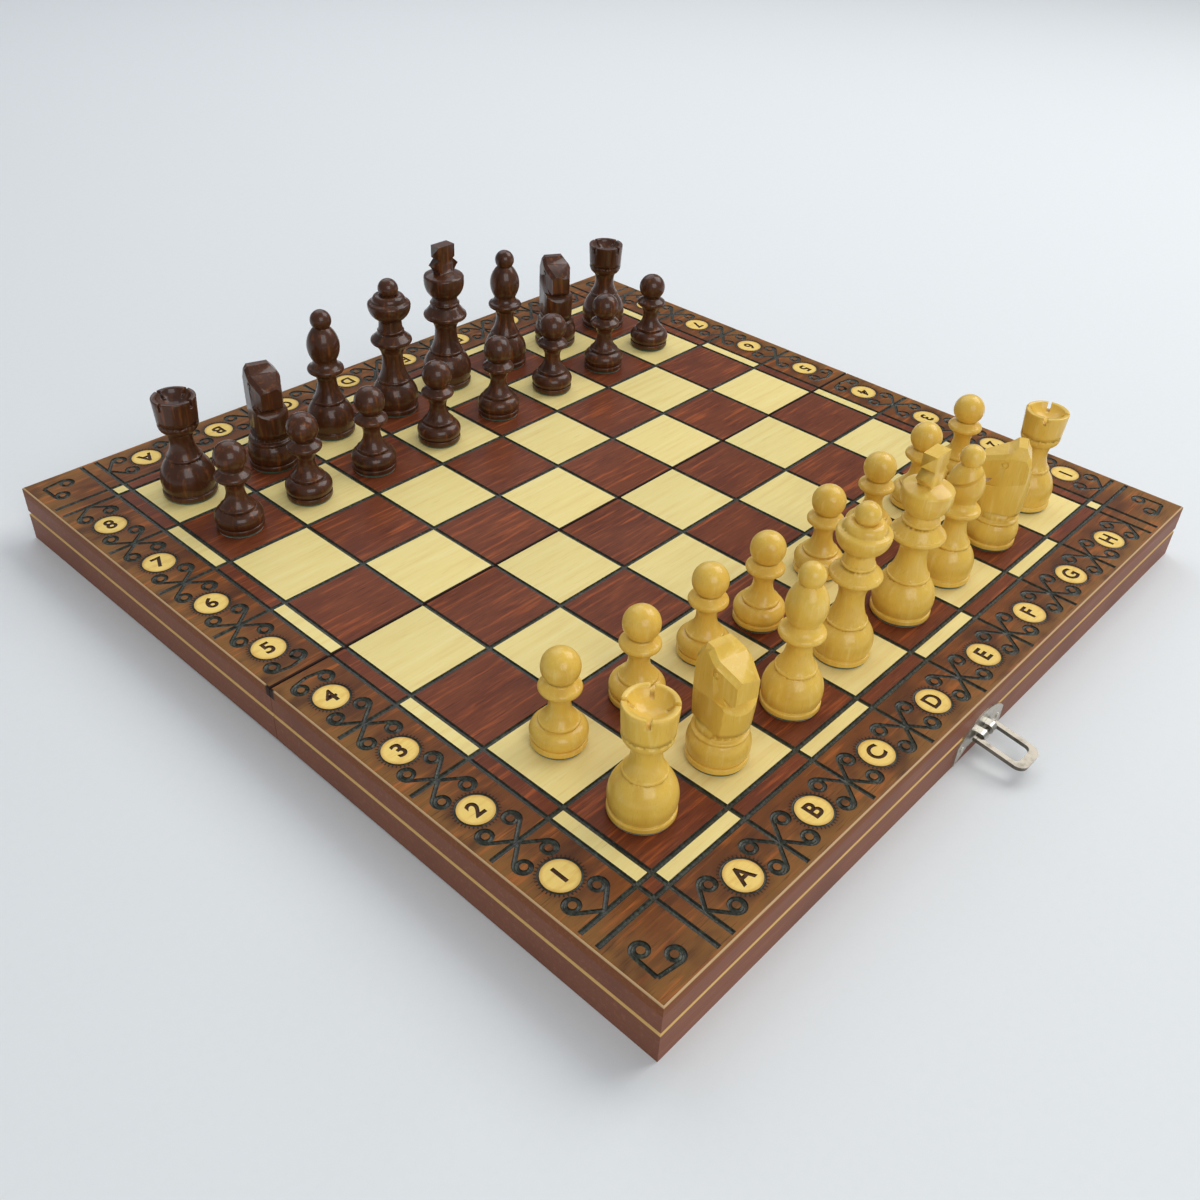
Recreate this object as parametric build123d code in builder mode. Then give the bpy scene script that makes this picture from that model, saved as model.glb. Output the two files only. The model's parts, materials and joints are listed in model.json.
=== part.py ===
from build123d import *
from math import cos, radians, sin
import os

os.makedirs("parts", exist_ok=True)

# A magnetic folding chess set, laid open for play, in millimetres.
# The origin is under the middle of the fold, at the level that the board stands on.
# X runs along the files from a to h, Y from the white side to the black side, Z up.

# Board
board_size = 340.0
square = 34.8
strip_width = 6.3
tray_height = 24.0
panel_thickness = 4.0
panel_rounding = 0.6
fold_gap = 0.3

# Burnt grooves that divide the playing face
groove_width = 1.8
groove_depth = 0.6
groove_margin = 1.5

# Tray walls
wall_thickness = 8.0
line_groove_level = 12.2
line_groove_width = 1.6
line_groove_depth = 0.9

# Steel sheet that the magnets hold to, and the felt under it
sheet_thickness = 0.5
lining_thickness = 1.0
lining_clearance = 0.4

# Butt hinges, let into the feet of the two spine walls
hinge_spacing = 200.0
hinge_length = 25.0
leaf_width = 7.0
leaf_thickness = 0.6
leaf_recess = 0.05
knuckle_radius = 1.0
knuckle_gap = 0.15
pin_radius = 0.5
pin_clearance = 0.03
hinge_clearance = 0.3

# Hinge screws
screw_spacing = 15.0
screw_inset = 3.2
screw_radius = 0.8
screw_head_radius = 1.4
screw_length = 7.0
screw_clearance = 0.05

# Latch plate on the front wall and catch plate on the back wall
plate_width = 32.0
plate_bottom = 1.0
plate_shoulder = 9.0
plate_top = 16.0
plate_thickness = 0.6
plate_notch_width = 17.0
plate_notch_top = 5.4

# Nails through the plates
nail_spacing = 25.0
nail_level = 6.6
nail_radius = 0.6
nail_head_radius = 1.2
nail_head_height = 0.5
nail_length = 6.5
nail_clearance = 0.05

# Latch knuckles and the bail that swings in them
latch_level = 8.3
latch_knuckle_radius = 1.9
latch_knuckle_inner = 1.4
latch_knuckle_outer = 4.6
latch_rod_radius = 0.8
latch_rod_clearance = 0.05
latch_web_thickness = 0.7
bail_opening = 9.8
bail_reach = 18.3
bail_eye = 1.4
bail_arm = 2.0
bail_tip = 3.4
bail_thickness = 1.5
bail_corner = 3.8
bail_inner_corner = 2.0
bail_droop = 8.0

# Hook on the catch plate, over which the bail is swung
hook_width = 6.0
hook_level = 5.6
hook_thickness = 0.8
hook_reach = 4.7
hook_lip = 1.3

# What all the men share
seat_gap = 0.05
glue_line = 0.05
felt_thickness = 0.8
felt_inset = 0.6
magnet_thickness = 3.0
disc_height = 3.0
disc_rounding = 0.5
foot_groove = 0.7
bead_height = 1.3
bead_depth = 0.5
edge_height = 2.4
edge_depth = 0.8

# Pawn
pawn_base_radius = 9.2
pawn_bulb_radius = 9.4
pawn_bulb_level = 5.0
pawn_bulb_top = 9.2
pawn_magnet_radius = 4.0
pawn_shoulder_radius = 6.8
pawn_neck_radius = 3.55
pawn_neck_level = 17.0
pawn_collar_level = 23.1
pawn_collar_radius = 7.0
pawn_collar_top_radius = 4.0
pawn_ball_level = 31.0
pawn_ball_radius = 6.3

# Rook
rook_base_radius = 10.7
rook_bulb_radius = 10.75
rook_bulb_level = 7.0
rook_bulb_top = 16.6
rook_magnet_radius = 5.0
rook_shoulder_radius = 7.1
rook_neck_radius = 4.7
rook_neck_level = 24.4
rook_bowl_level = 28.2
rook_bowl_radius = 5.5
rook_groove_level = 31.8
rook_groove_height = 0.9
rook_turret_radius = 7.9
rook_rim_radius = 8.5
rook_height = 43.0
rook_cup_radius = 6.8
rook_cup_depth = 4.5
rook_kerf_width = 1.3
rook_kerf_depth = 3.2

# Knight
knight_base_radius = 10.1
knight_bulb_radius = 10.3
knight_bulb_level = 6.4
knight_bulb_top = 11.6
knight_magnet_radius = 5.0
knight_shoulder_radius = 9.2
knight_cove_radius = 7.9
knight_barrel_foot = 15.8
knight_barrel_radius = 9.7
knight_barrel_level = 23.0
knight_barrel_top_radius = 9.2
knight_head_thickness = 13.0
knight_chest_top = 24.8
knight_throat_foot_reach = 6.8
knight_throat_foot = 27.6
knight_throat_reach = 4.7
knight_throat_level = 30.6
knight_jaw_reach = 8.8
knight_jaw_level = 28.8
knight_nose_reach = 9.7
knight_nose_bottom = 29.8
knight_nose_top = 37.8
knight_nose_thickness = 8.4
knight_snout_start = 2.0
knight_brow_reach = 1.0
knight_brow_level = 41.6
knight_poll_front = 1.7
knight_poll_back = 4.8
knight_height = 44.2
knight_nape_reach = 7.2
knight_nape_level = 40.4
knight_facet = 1.5
knight_taper_level = 40.2
knight_crest_thickness = 6.8
knight_eye_reach = 1.9
knight_eye_level = 37.2
knight_eye_radius = 1.6
knight_eye_pupil = 0.8
knight_eye_depth = 0.4

# Bishop
bishop_base_radius = 10.15
bishop_bulb_radius = 10.25
bishop_bulb_level = 6.6
bishop_bulb_top = 15.3
bishop_magnet_radius = 5.0
bishop_shoulder_radius = 7.1
bishop_neck_radius = 4.15
bishop_neck_level = 25.0
bishop_collar_level = 30.2
bishop_collar_radius = 7.8
bishop_collar_top = 34.4
bishop_collar_top_radius = 5.0
bishop_head_level = 41.2
bishop_head_radius = 6.9
bishop_head_top = 49.0
bishop_ball_level = 52.0
bishop_ball_radius = 4.45
bishop_slit_width = 1.0
bishop_slit_depth = 5.5
bishop_slit_level = 44.5
bishop_slit_tilt = 25.0

# Queen
queen_base_radius = 10.3
queen_bulb_radius = 10.5
queen_bulb_level = 6.6
queen_bulb_top = 14.4
queen_magnet_radius = 5.0
queen_shoulder_radius = 7.4
queen_neck_radius = 4.6
queen_neck_level = 25.6
queen_collar_level = 33.8
queen_collar_radius = 9.1
queen_waist_level = 38.4
queen_waist_radius = 5.9
queen_cup_radius = 5.0
queen_bowl_level = 43.4
queen_crown_level = 50.2
queen_crown_radius = 9.35
queen_dome_level = 54.4
queen_dome_radius = 7.2
queen_ball_level = 57.2
queen_ball_radius = 4.4

# King
king_height = 67.0
king_base_radius = 11.0
king_bulb_radius = 11.25
king_bulb_level = 6.8
king_bulb_top = 16.2
king_magnet_radius = 5.5
king_shoulder_radius = 7.8
king_neck_radius = 5.0
king_collar_rise = 7.0
king_collar_radius = 9.9
king_waist_rise = 5.7
king_waist_radius = 6.75
king_cup_rise = 3.1
king_cup_radius = 5.7
king_bowl_height = 7.0
king_rim_height = 2.0
king_crown_radius = 9.1
king_dome_height = 1.9
king_cross_height = 15.0
king_cross_thickness = 5.4
king_cross_stem = 3.4
king_cross_arm_rise = 6.0
king_cross_arm = 6.3
king_cross_notch_rise = 2.7
king_cross_notch = 3.5
king_cross_head = 4.5

# Places worked out from those sizes
half_size = board_size / 2
field_half = 4 * square
wall_top = tray_height - panel_thickness
fold_face = fold_gap / 2
inner_half = half_size - wall_thickness
spine_inner = fold_face + wall_thickness
sheet_bottom = wall_top - sheet_thickness
lining_bottom = sheet_bottom - lining_thickness
axis_level = knuckle_radius
leaf_bottom = axis_level + leaf_recess
leaf_top = leaf_bottom + leaf_thickness
knuckle_length = hinge_length / 3
hinge_places = [-hinge_spacing / 2, hinge_spacing / 2]
plate_face = half_size + plate_thickness
latch_out = plate_face + latch_knuckle_radius
wood_bottom = felt_thickness + glue_line
pocket_top = wood_bottom + magnet_thickness + glue_line
men_level = tray_height + seat_gap
king_crown_level = king_height - king_cross_height
king_bowl_top = king_crown_level - king_rim_height
king_bowl_level = king_bowl_top - king_bowl_height
king_waist_level = king_bowl_level - king_cup_rise
king_collar_level = king_waist_level - king_waist_rise
king_neck_level = king_collar_level - king_collar_rise
king_cross_arm_level = king_crown_level + king_cross_arm_rise
king_cross_notch_level = king_cross_arm_level + king_cross_notch_rise
past = 1.0

BASE = (Align.CENTER, Align.CENTER, Align.MIN)


def board_section():
    """Plane across the files: sketch X is the board's Y, sketch Y is up, and it faces along +X."""
    return Plane(origin=(-half_size, 0, 0), x_dir=(0, 1, 0), z_dir=(1, 0, 0))


def playing_panel(side):
    """Plywood playing face of one half; side is -1 for the near half and 1 for the far half."""
    reach = half_size - groove_margin
    edge = field_half + strip_width
    file_lines = [i * square for i in range(-4, 5)] + [-edge, edge]
    rank_lines = [i * square for i in range(1, 5)] + [edge]
    with BuildPart() as panel:
        with BuildSketch(Plane.XY.offset(wall_top)):
            with Locations((0, side * (half_size + fold_face) / 2)):
                Rectangle(board_size, half_size - fold_face)
        extrude(amount=panel_thickness)
        fillet(panel.faces().sort_by(Axis.Z)[-1].edges(), panel_rounding)
        with BuildSketch(Plane.XY.offset(tray_height)):
            with Locations([(x, side * reach / 2) for x in file_lines]):
                Rectangle(groove_width, reach)
            with Locations([(0, side * y) for y in rank_lines]):
                Rectangle(2 * reach, groove_width)
        extrude(amount=-groove_depth, mode=Mode.SUBTRACT)
    return panel


def line_groove(out):
    """Outline of the V line in a wall whose outer face is at out, with its point towards the board."""
    sign = out / abs(out)
    half = line_groove_width / 2
    Polyline(
        (out - sign * line_groove_depth, line_groove_level),
        (out, line_groove_level + half),
        (out + sign * past, line_groove_level + half),
        (out + sign * past, line_groove_level - half),
        (out, line_groove_level - half),
        close=True,
    )


def fold_relief(side):
    """What is cut off the feet, below the plane through the hinge axis and the outer edge of the foot."""
    out = side * half_size
    with BuildPart() as relief:
        with BuildSketch(board_section()):
            with BuildLine():
                Polyline((out, 0), (0, axis_level), (0, -past), (out, -past), close=True)
            make_face()
        extrude(amount=board_size)
    return relief


def outer_wall(side):
    """Front or back wall, mitred at both ends, with the V line along its face and two nail holes."""
    with BuildPart() as wall:
        with BuildSketch():
            with BuildLine():
                Polyline(
                    (-half_size, side * half_size),
                    (half_size, side * half_size),
                    (inner_half, side * inner_half),
                    (-inner_half, side * inner_half),
                    close=True,
                )
            make_face()
        extrude(amount=wall_top)
        with BuildSketch(board_section()):
            with BuildLine():
                line_groove(side * half_size)
            make_face()
        extrude(amount=board_size, mode=Mode.SUBTRACT)
        with BuildSketch(Plane.XZ.offset(-side * half_size)):
            with Locations((-nail_spacing / 2, nail_level), (nail_spacing / 2, nail_level)):
                Circle(nail_radius + nail_clearance)
        extrude(amount=side * (nail_length + nail_clearance), mode=Mode.SUBTRACT)
    return wall


def side_wall(side, hand):
    """Left (hand -1) or right (hand 1) wall, whose foot rises towards the fold."""
    relief = fold_relief(side)
    with BuildPart() as wall:
        with BuildSketch():
            with BuildLine():
                Polyline(
                    (hand * half_size, side * half_size),
                    (hand * half_size, side * fold_face),
                    (hand * inner_half, side * fold_face),
                    (hand * inner_half, side * inner_half),
                    close=True,
                )
            make_face()
        extrude(amount=wall_top)
        with BuildSketch(Plane.XZ):
            with BuildLine():
                line_groove(hand * half_size)
            make_face()
        extrude(amount=half_size, both=True, mode=Mode.SUBTRACT)
        add(relief.part, mode=Mode.SUBTRACT)
    return wall


def screw_points(side, x):
    """The two screws of one hinge leaf."""
    y = side * (leaf_width - screw_inset)
    return [(x - screw_spacing / 2, y, leaf_bottom), (x + screw_spacing / 2, y, leaf_bottom)]


def drive_screws(points, clearance=0.0, mode=Mode.ADD):
    """Countersunk screws driven up into a spine wall, or the holes for them."""
    head = screw_head_radius + clearance
    shank = screw_radius + clearance
    with Locations(points):
        Cone(head, shank, leaf_thickness + clearance, align=BASE, mode=mode)
        Cylinder(shank, screw_length + clearance, align=BASE, mode=mode)


def spine_wall(side):
    """Wall along the fold, mortised for the hinge leaves and hollowed for their knuckles."""
    relief = fold_relief(side)
    with BuildPart() as wall:
        with BuildSketch():
            with Locations((0, side * (fold_face + spine_inner) / 2)):
                Rectangle(2 * inner_half, wall_thickness)
        extrude(amount=wall_top)
        add(relief.part, mode=Mode.SUBTRACT)
        with Locations([(x, side * leaf_width / 2, 0) for x in hinge_places]):
            Box(
                hinge_length + 2 * leaf_recess,
                leaf_width + 2 * leaf_recess,
                leaf_top + leaf_recess,
                align=BASE,
                mode=Mode.SUBTRACT,
            )
        with Locations([Location((x, 0, axis_level), (0, 90, 0)) for x in hinge_places]):
            Cylinder(
                knuckle_radius + hinge_clearance,
                hinge_length + 2 * hinge_clearance,
                mode=Mode.SUBTRACT,
            )
        for x in hinge_places:
            drive_screws(screw_points(side, x), screw_clearance, Mode.SUBTRACT)
    return wall


def hinge_leaf(side, x):
    """Leaf of a butt hinge with three knuckles: two on the near leaf, one on the far leaf."""
    knuckles = [x - knuckle_length, x + knuckle_length] if side < 0 else [x]
    web = knuckle_radius + knuckle_gap
    with BuildPart() as leaf:
        with Locations((x, side * (leaf_width + web) / 2, leaf_bottom)):
            Box(hinge_length, leaf_width - web, leaf_thickness, align=BASE)
        with Locations([(place, side * web / 2, leaf_bottom) for place in knuckles]):
            Box(knuckle_length - knuckle_gap, web, leaf_thickness, align=BASE)
        with Locations([Location((place, 0, axis_level), (0, 90, 0)) for place in knuckles]):
            Cylinder(knuckle_radius, knuckle_length - knuckle_gap)
        with Locations(Location((x, 0, axis_level), (0, 90, 0))):
            Cylinder(pin_radius + pin_clearance, hinge_length + past, mode=Mode.SUBTRACT)
        drive_screws(screw_points(side, x), screw_clearance, Mode.SUBTRACT)
    return leaf


def hinge_pin(x):
    """Pin through the three knuckles of one hinge."""
    with BuildPart() as pin:
        with Locations(Location((x, 0, axis_level), (0, 90, 0))):
            Cylinder(pin_radius, hinge_length)
    return pin


def hinge_screws(side):
    """The four screws of one half."""
    with BuildPart() as screws:
        for x in hinge_places:
            drive_screws(screw_points(side, x))
    return screws


def inner_sheet(side, bottom, thickness):
    """Flat sheet under the panel, between the four walls."""
    depth = inner_half - spine_inner
    with BuildPart() as sheet:
        with BuildSketch(Plane.XY.offset(bottom)):
            with Locations((0, side * (inner_half + spine_inner) / 2)):
                Rectangle(2 * (inner_half - lining_clearance), depth - 2 * lining_clearance)
        extrude(amount=thickness)
    return sheet


def fitting_plate(side):
    """Stamped plate with an arched top, two pointed feet and a nail hole above each foot."""
    half = plate_width / 2
    notch = plate_notch_width / 2
    with BuildPart() as plate:
        with BuildSketch(Plane.XZ.offset(-side * half_size)):
            with BuildLine():
                Polyline(
                    (-half, plate_shoulder),
                    (-half, plate_bottom),
                    (-notch, plate_notch_top),
                    (notch, plate_notch_top),
                    (half, plate_bottom),
                    (half, plate_shoulder),
                )
                ThreePointArc((half, plate_shoulder), (0, plate_top), (-half, plate_shoulder))
            make_face()
            with Locations((-nail_spacing / 2, nail_level), (nail_spacing / 2, nail_level)):
                Circle(nail_radius + nail_clearance, mode=Mode.SUBTRACT)
        extrude(amount=-side * plate_thickness)
    return plate


def plate_nails(side):
    """The two round-headed nails of a plate."""
    places = [(-nail_spacing / 2, nail_level), (nail_spacing / 2, nail_level)]
    with BuildPart() as nails:
        with BuildSketch(Plane.XZ.offset(-side * plate_face)):
            with Locations(places):
                Circle(nail_head_radius)
        extrude(amount=-side * nail_head_height)
        head_tops = nails.faces().filter_by(Axis.Y).group_by(Axis.Y)[0 if side < 0 else -1]
        fillet(head_tops.edges(), nail_head_height / 2)
        with BuildSketch(Plane.XZ.offset(-side * plate_face)):
            with Locations(places):
                Circle(nail_radius)
        extrude(amount=side * nail_length)
    return nails


def latch_plate_with_knuckles():
    """Plate of the front wall, with two rolled knuckles for the bail's rod."""
    plate = fitting_plate(-1)
    length = latch_knuckle_outer - latch_knuckle_inner
    middle = (latch_knuckle_outer + latch_knuckle_inner) / 2
    places = [-middle, middle]
    web_level = latch_level + latch_knuckle_radius - latch_web_thickness
    with BuildPart() as knuckled:
        add(plate.part)
        with Locations([(x, -(half_size + latch_out) / 2, web_level) for x in places]):
            Box(length, latch_out - half_size, latch_web_thickness, align=BASE)
        with Locations([Location((x, -latch_out, latch_level), (0, 90, 0)) for x in places]):
            Cylinder(latch_knuckle_radius, length)
            Cylinder(latch_rod_radius + latch_rod_clearance, length + past, mode=Mode.SUBTRACT)
    return knuckled


def bail():
    """Flat loop of the latch, resting a little below level, with the rod that turns in the knuckles."""
    droop = radians(bail_droop)
    loop_plane = Plane(
        origin=(0, -latch_out, latch_level),
        x_dir=(1, 0, 0),
        z_dir=(0, sin(droop), -cos(droop)),
    )
    half = bail_opening / 2 + bail_arm
    inner = bail_opening / 2
    inner_reach = bail_reach - bail_tip
    with BuildPart() as loop:
        with BuildSketch(loop_plane):
            with BuildLine():
                Polyline(
                    (-half, bail_reach - bail_corner),
                    (-half, -bail_eye),
                    (-inner, -bail_eye),
                    (-inner, inner_reach - bail_inner_corner),
                )
                TangentArc(
                    (-inner, inner_reach - bail_inner_corner),
                    (-inner + bail_inner_corner, inner_reach),
                    tangent=(0, 1),
                )
                Line((-inner + bail_inner_corner, inner_reach), (inner - bail_inner_corner, inner_reach))
                TangentArc(
                    (inner - bail_inner_corner, inner_reach),
                    (inner, inner_reach - bail_inner_corner),
                    tangent=(1, 0),
                )
                Polyline(
                    (inner, inner_reach - bail_inner_corner),
                    (inner, -bail_eye),
                    (half, -bail_eye),
                    (half, bail_reach - bail_corner),
                )
                TangentArc((half, bail_reach - bail_corner), (half - bail_corner, bail_reach), tangent=(0, 1))
                Line((half - bail_corner, bail_reach), (bail_corner - half, bail_reach))
                TangentArc((bail_corner - half, bail_reach), (-half, bail_reach - bail_corner), tangent=(-1, 0))
            make_face()
        extrude(amount=bail_thickness / 2, both=True)
        with Locations(Location((0, -latch_out, latch_level), (0, 90, 0))):
            Cylinder(latch_rod_radius, 2 * half)
    return loop


def catch_plate_with_hook():
    """Plate of the back wall, with the tongue and lip that hold the bail."""
    plate = fitting_plate(1)
    out = half_size + hook_reach
    with BuildPart() as hooked:
        add(plate.part)
        with BuildSketch(Plane(origin=(-hook_width / 2, 0, 0), x_dir=(0, 1, 0), z_dir=(1, 0, 0))):
            with BuildLine():
                Polyline(
                    (half_size, hook_level - hook_thickness),
                    (out, hook_level - hook_thickness),
                    (out, hook_level + hook_lip),
                    (out - hook_thickness, hook_level + hook_lip),
                    (out - hook_thickness, hook_level),
                    (half_size, hook_level),
                    close=True,
                )
            make_face()
        extrude(amount=hook_width)
    return hooked


def foot_outline(base, bulb, bulb_level, bulb_top, shoulder):
    """Outline of a foot, from the axis out and up to the top of the bead on its shoulder."""
    bead_root = shoulder - bead_depth
    Line((0, wood_bottom), (base - disc_rounding, wood_bottom))
    TangentArc((base - disc_rounding, wood_bottom), (base, wood_bottom + disc_rounding), tangent=(1, 0))
    Line((base, wood_bottom + disc_rounding), (base, disc_height - disc_rounding))
    TangentArc((base, disc_height - disc_rounding), (base - disc_rounding, disc_height), tangent=(0, 1))
    Line((base - disc_rounding, disc_height), (base - foot_groove, disc_height))
    ThreePointArc((base - foot_groove, disc_height), (bulb, bulb_level), (bead_root, bulb_top))
    edge_outline(shoulder, bulb_top + bead_height / 2, bead_depth, bead_height)


def edge_outline(radius, level, depth=edge_depth, height=edge_height):
    """Rounded edge of a bead or collar, drawn upwards."""
    ThreePointArc(
        (radius - depth, level - height / 2),
        (radius, level),
        (radius - depth, level + height / 2),
    )


def column_outline(shoulder, bulb_top, neck, neck_level, collar, collar_level):
    """Hollow curve from the bead up to the neck and out again to the underside of the collar."""
    bead_top = (shoulder - bead_depth, bulb_top + bead_height)
    collar_under = (collar - edge_depth, collar_level - edge_height / 2)
    TangentArc((neck, neck_level), bead_top, tangent=(0, -1))
    TangentArc((neck, neck_level), collar_under, tangent=(0, 1))


def ball_outline(start, radius, level):
    """Round top, from a point on the ball to the axis above it."""
    ThreePointArc(start, (radius, level), (0, level + radius))


def ball_foot(radius, ball_radius, ball_level):
    """Height at which a ball is as wide as radius, below its middle."""
    return ball_level - (ball_radius**2 - radius**2) ** 0.5


def magnet_pocket(radius):
    """Hole in the foot for the disc magnet, cut in the open part."""
    with Locations((0, 0, wood_bottom)):
        Cylinder(
            radius + glue_line,
            pocket_top - wood_bottom,
            align=BASE,
            mode=Mode.SUBTRACT,
        )


def magnet_and_felt(base, magnet):
    """Disc magnet in its pocket and the felt under the foot, added to the open part."""
    with Locations((0, 0, wood_bottom)):
        Cylinder(magnet, magnet_thickness, align=BASE)
    Cylinder(base - felt_inset, felt_thickness, align=BASE)


def turned_pawn():
    ball_start = ball_foot(pawn_collar_top_radius, pawn_ball_radius, pawn_ball_level)
    with BuildPart() as pawn:
        with BuildSketch(Plane.XZ):
            with BuildLine():
                foot_outline(
                    pawn_base_radius,
                    pawn_bulb_radius,
                    pawn_bulb_level,
                    pawn_bulb_top,
                    pawn_shoulder_radius,
                )
                column_outline(
                    pawn_shoulder_radius,
                    pawn_bulb_top,
                    pawn_neck_radius,
                    pawn_neck_level,
                    pawn_collar_radius,
                    pawn_collar_level,
                )
                edge_outline(pawn_collar_radius, pawn_collar_level)
                Line(
                    (pawn_collar_radius - edge_depth, pawn_collar_level + edge_height / 2),
                    (pawn_collar_top_radius, ball_start),
                )
                ball_outline((pawn_collar_top_radius, ball_start), pawn_ball_radius, pawn_ball_level)
                Line((0, pawn_ball_level + pawn_ball_radius), (0, wood_bottom))
            make_face()
        revolve(axis=Axis.Z)
        magnet_pocket(pawn_magnet_radius)
        magnet_and_felt(pawn_base_radius, pawn_magnet_radius)
    return pawn


def turned_rook():
    groove_root = rook_turret_radius - bead_depth
    groove_top = rook_groove_level + rook_groove_height
    rim = rook_rim_radius - disc_rounding
    cup_floor = rook_height - rook_cup_depth
    with BuildPart() as rook:
        with BuildSketch(Plane.XZ):
            with BuildLine():
                foot_outline(
                    rook_base_radius,
                    rook_bulb_radius,
                    rook_bulb_level,
                    rook_bulb_top,
                    rook_shoulder_radius,
                )
                TangentArc(
                    (rook_neck_radius, rook_neck_level),
                    (rook_shoulder_radius - bead_depth, rook_bulb_top + bead_height),
                    tangent=(0, -1),
                )
                TangentArc(
                    (rook_neck_radius, rook_neck_level),
                    (rook_bowl_radius, rook_bowl_level),
                    tangent=(0, 1),
                )
                TangentArc(
                    (rook_turret_radius, rook_groove_level),
                    (rook_bowl_radius, rook_bowl_level),
                    tangent=(0, -1),
                )
                Polyline(
                    (rook_turret_radius, rook_groove_level),
                    (groove_root, rook_groove_level + rook_groove_height / 2),
                    (rook_turret_radius, groove_top),
                    (rook_rim_radius, rook_height - disc_rounding),
                )
                TangentArc((rook_rim_radius, rook_height - disc_rounding), (rim, rook_height), tangent=(0, 1))
                Line((rim, rook_height), (rook_cup_radius, rook_height))
                TangentArc((0, cup_floor), (rook_cup_radius, rook_height), tangent=(1, 0))
                Line((0, cup_floor), (0, wood_bottom))
            make_face()
        revolve(axis=Axis.Z)
        with Locations((0, 0, rook_height - rook_kerf_depth)):
            Box(3 * rook_rim_radius, rook_kerf_width, 2 * rook_kerf_depth, align=BASE, mode=Mode.SUBTRACT)
            Box(rook_kerf_width, 3 * rook_rim_radius, 2 * rook_kerf_depth, align=BASE, mode=Mode.SUBTRACT)
        magnet_pocket(rook_magnet_radius)
        magnet_and_felt(rook_base_radius, rook_magnet_radius)
    return rook


def turned_bishop():
    slit_plane = Plane(
        origin=(bishop_head_radius, 0, bishop_slit_level),
        x_dir=(1, 0, 0),
        z_dir=(0, -sin(radians(bishop_slit_tilt)), cos(radians(bishop_slit_tilt))),
    )
    head_top_radius = (bishop_ball_radius**2 - (bishop_ball_level - bishop_head_top) ** 2) ** 0.5
    with BuildPart() as bishop:
        with BuildSketch(Plane.XZ):
            with BuildLine():
                foot_outline(
                    bishop_base_radius,
                    bishop_bulb_radius,
                    bishop_bulb_level,
                    bishop_bulb_top,
                    bishop_shoulder_radius,
                )
                column_outline(
                    bishop_shoulder_radius,
                    bishop_bulb_top,
                    bishop_neck_radius,
                    bishop_neck_level,
                    bishop_collar_radius,
                    bishop_collar_level,
                )
                edge_outline(bishop_collar_radius, bishop_collar_level)
                TangentArc(
                    (bishop_collar_top_radius, bishop_collar_top),
                    (bishop_collar_radius - edge_depth, bishop_collar_level + edge_height / 2),
                    tangent=(0, -1),
                )
                ThreePointArc(
                    (bishop_collar_top_radius, bishop_collar_top),
                    (bishop_head_radius, bishop_head_level),
                    (head_top_radius, bishop_head_top),
                )
                ball_outline((head_top_radius, bishop_head_top), bishop_ball_radius, bishop_ball_level)
                Line((0, bishop_ball_level + bishop_ball_radius), (0, wood_bottom))
            make_face()
        revolve(axis=Axis.Z)
        with BuildSketch(slit_plane):
            Rectangle(2 * bishop_slit_depth, 3 * bishop_head_radius)
        extrude(amount=bishop_slit_width / 2, both=True, mode=Mode.SUBTRACT)
        magnet_pocket(bishop_magnet_radius)
        magnet_and_felt(bishop_base_radius, bishop_magnet_radius)
    return bishop


def turned_queen():
    dome_radius = (queen_ball_radius**2 - (queen_ball_level - queen_dome_level) ** 2) ** 0.5
    crown_inner = queen_crown_radius - edge_depth
    crown_top = queen_crown_level + edge_height / 2
    waist_foot = (queen_waist_radius - bead_depth, queen_waist_level - bead_height / 2)
    waist_top = (queen_waist_radius - bead_depth, queen_waist_level + bead_height / 2)
    with BuildPart() as queen:
        with BuildSketch(Plane.XZ):
            with BuildLine():
                foot_outline(
                    queen_base_radius,
                    queen_bulb_radius,
                    queen_bulb_level,
                    queen_bulb_top,
                    queen_shoulder_radius,
                )
                column_outline(
                    queen_shoulder_radius,
                    queen_bulb_top,
                    queen_neck_radius,
                    queen_neck_level,
                    queen_collar_radius,
                    queen_collar_level,
                )
                edge_outline(queen_collar_radius, queen_collar_level)
                Line((queen_collar_radius - edge_depth, queen_collar_level + edge_height / 2), waist_foot)
                edge_outline(queen_waist_radius, queen_waist_level, bead_depth, bead_height)
                TangentArc((queen_cup_radius, queen_bowl_level), waist_top, tangent=(0, -1))
                TangentArc(
                    (queen_crown_radius, queen_crown_level),
                    (queen_cup_radius, queen_bowl_level),
                    tangent=(0, -1),
                )
                TangentArc((queen_crown_radius, queen_crown_level), (crown_inner, crown_top), tangent=(0, 1))
                Line((crown_inner, crown_top), (queen_dome_radius, crown_top + edge_depth))
                TangentArc(
                    (queen_dome_radius, crown_top + edge_depth),
                    (dome_radius, queen_dome_level),
                    tangent=(0, 1),
                )
                ball_outline((dome_radius, queen_dome_level), queen_ball_radius, queen_ball_level)
                Line((0, queen_ball_level + queen_ball_radius), (0, wood_bottom))
            make_face()
        revolve(axis=Axis.Z)
        magnet_pocket(queen_magnet_radius)
        magnet_and_felt(queen_base_radius, queen_magnet_radius)
    return queen


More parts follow.
